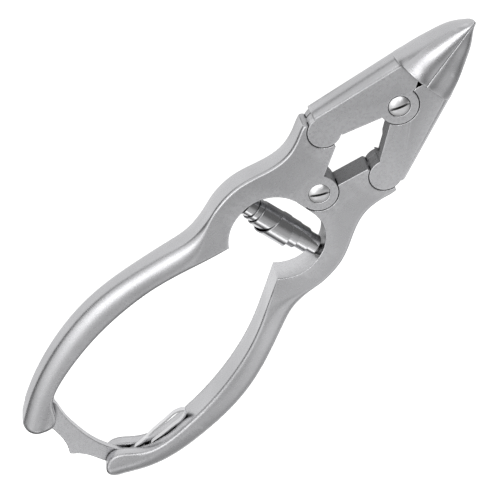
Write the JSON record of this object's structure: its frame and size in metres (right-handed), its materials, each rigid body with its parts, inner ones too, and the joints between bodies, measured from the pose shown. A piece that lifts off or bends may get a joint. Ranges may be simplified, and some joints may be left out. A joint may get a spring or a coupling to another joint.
{
  "type": "nail clipper",
  "caption": "Double-action nail nipper with two jaws, lapped pivots, a barrel spring between the grips and a swinging end latch, shown closed and latched.",
  "frame": {"origin": "middle of the whole tool's length and width, in the plane that it lies on", "axes": "+X along the tool to the cutting tips, +Y to the left half, which is the one whose lap discs lie in front, +Z to the front, the side with the screw heads"},
  "size_m": [0.1514, 0.0501, 0.0108],
  "materials": {
    "satin_steel": "satin, fine blasted",
    "polished_steel": "polished",
    "spring_steel": "bright rolled strip"
  },
  "bodies": {
    "handle_left": {"handle_left": "satin_steel", "catch_pin": "polished_steel", "spring_stud_left": "polished_steel"},
    "handle_right": {"handle_right": "satin_steel", "handle_screw": "polished_steel", "spring_stud_right": "polished_steel", "latch_pin": "polished_steel", "latch_spring": "spring_steel", "latch_spring_pin": "polished_steel", "barrel_spring": "spring_steel"},
    "jaw_left": {"jaw_left": "satin_steel", "link_pin_left": "polished_steel"},
    "jaw_right": {"jaw_right": "satin_steel", "jaw_screw": "polished_steel", "link_pin_right": "polished_steel"},
    "latch": {"latch": "satin_steel"}
  },
  "joints": [
    {"name": "handle_open", "type": "hinge", "parent": "handle_left", "child": "handle_right", "pos_m": [0.0218, -0.00074, 0.00391], "axis": [0, 0, 1], "range_deg": [0, 30], "deforming": ["barrel_spring"]},
    {"name": "jaw_left_swing", "type": "hinge", "parent": "handle_left", "child": "jaw_left", "pos_m": [0.0348, 0.00901, 0.00391], "axis": [0, 0, 1], "range_deg": [0, 28.5]},
    {"name": "jaw_right_swing", "type": "hinge", "parent": "handle_right", "child": "jaw_right", "pos_m": [0.0348, -0.01049, 0.00391], "axis": [0, 0, -1], "range_deg": [0, 28.5]},
    {"name": "latch_swing", "type": "hinge", "parent": "handle_right", "child": "latch", "pos_m": [-0.0693, -0.01194, 0.00391], "axis": [0, 0, 1], "range_deg": [0, 73]}
  ],
  "couplings": [
    {"joint": "jaw_left_swing", "follows": "handle_open", "ratio": 0.9326},
    {"joint": "jaw_right_swing", "follows": "handle_open", "ratio": 0.9326},
    {"joint": "latch_swing", "follows": "handle_open", "ratio": 2.4}
  ]
}
